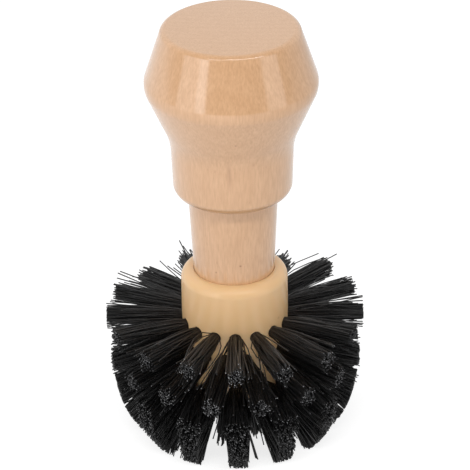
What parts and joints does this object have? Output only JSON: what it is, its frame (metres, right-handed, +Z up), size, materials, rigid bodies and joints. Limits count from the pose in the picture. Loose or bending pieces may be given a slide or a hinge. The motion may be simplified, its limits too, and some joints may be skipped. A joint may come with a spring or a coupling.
{
  "type": "portafilter brush",
  "caption": "Round cleaning brush for a coffee machine's portafilter: a turned wooden knob handle in a pale plastic hub, with tufts of stiff black bristle all round and below it.",
  "frame": {"origin": "the point on the brush's axis at the floor that its lowest bristles stand on", "axes": "+Z up along the handle's axis, from the bristles to the knob; -Y is the side that the picture shows"},
  "size_m": [0.07, 0.07, 0.1194],
  "materials": {
    "lacquered_maple": "clear gloss lacquer over fine straight grain",
    "cream_plastic": "smooth moulded, semi-gloss, slightly translucent",
    "black_nylon": "satin round filament"
  },
  "bodies": {
    "root": {"handle": "lacquered_maple", "hub": "cream_plastic", "tuft_upper_01": "black_nylon", "tuft_upper_02": "black_nylon", "tuft_upper_03": "black_nylon", "tuft_upper_04": "black_nylon", "tuft_upper_05": "black_nylon", "tuft_upper_06": "black_nylon", "tuft_upper_07": "black_nylon", "tuft_upper_08": "black_nylon", "tuft_upper_09": "black_nylon", "tuft_upper_10": "black_nylon", "tuft_upper_11": "black_nylon", "tuft_upper_12": "black_nylon", "tuft_upper_13": "black_nylon", "tuft_upper_14": "black_nylon", "tuft_upper_15": "black_nylon", "tuft_upper_16": "black_nylon", "tuft_middle_01": "black_nylon", "tuft_middle_02": "black_nylon", "tuft_middle_03": "black_nylon", "tuft_middle_04": "black_nylon", "tuft_middle_05": "black_nylon", "tuft_middle_06": "black_nylon", "tuft_middle_07": "black_nylon", "tuft_middle_08": "black_nylon", "tuft_middle_09": "black_nylon", "tuft_middle_10": "black_nylon", "tuft_middle_11": "black_nylon", "tuft_middle_12": "black_nylon", "tuft_middle_13": "black_nylon", "tuft_middle_14": "black_nylon", "tuft_middle_15": "black_nylon", "tuft_middle_16": "black_nylon", "tuft_lower_01": "black_nylon", "tuft_lower_02": "black_nylon", "tuft_lower_03": "black_nylon", "tuft_lower_04": "black_nylon", "tuft_lower_05": "black_nylon", "tuft_lower_06": "black_nylon", "tuft_lower_07": "black_nylon", "tuft_lower_08": "black_nylon", "tuft_lower_09": "black_nylon", "tuft_lower_10": "black_nylon", "tuft_lower_11": "black_nylon", "tuft_lower_12": "black_nylon", "tuft_lower_13": "black_nylon", "tuft_lower_14": "black_nylon", "tuft_base_01": "black_nylon", "tuft_base_02": "black_nylon", "tuft_base_03": "black_nylon", "tuft_base_04": "black_nylon", "tuft_base_05": "black_nylon", "tuft_base_06": "black_nylon"}
  },
  "joints": []
}
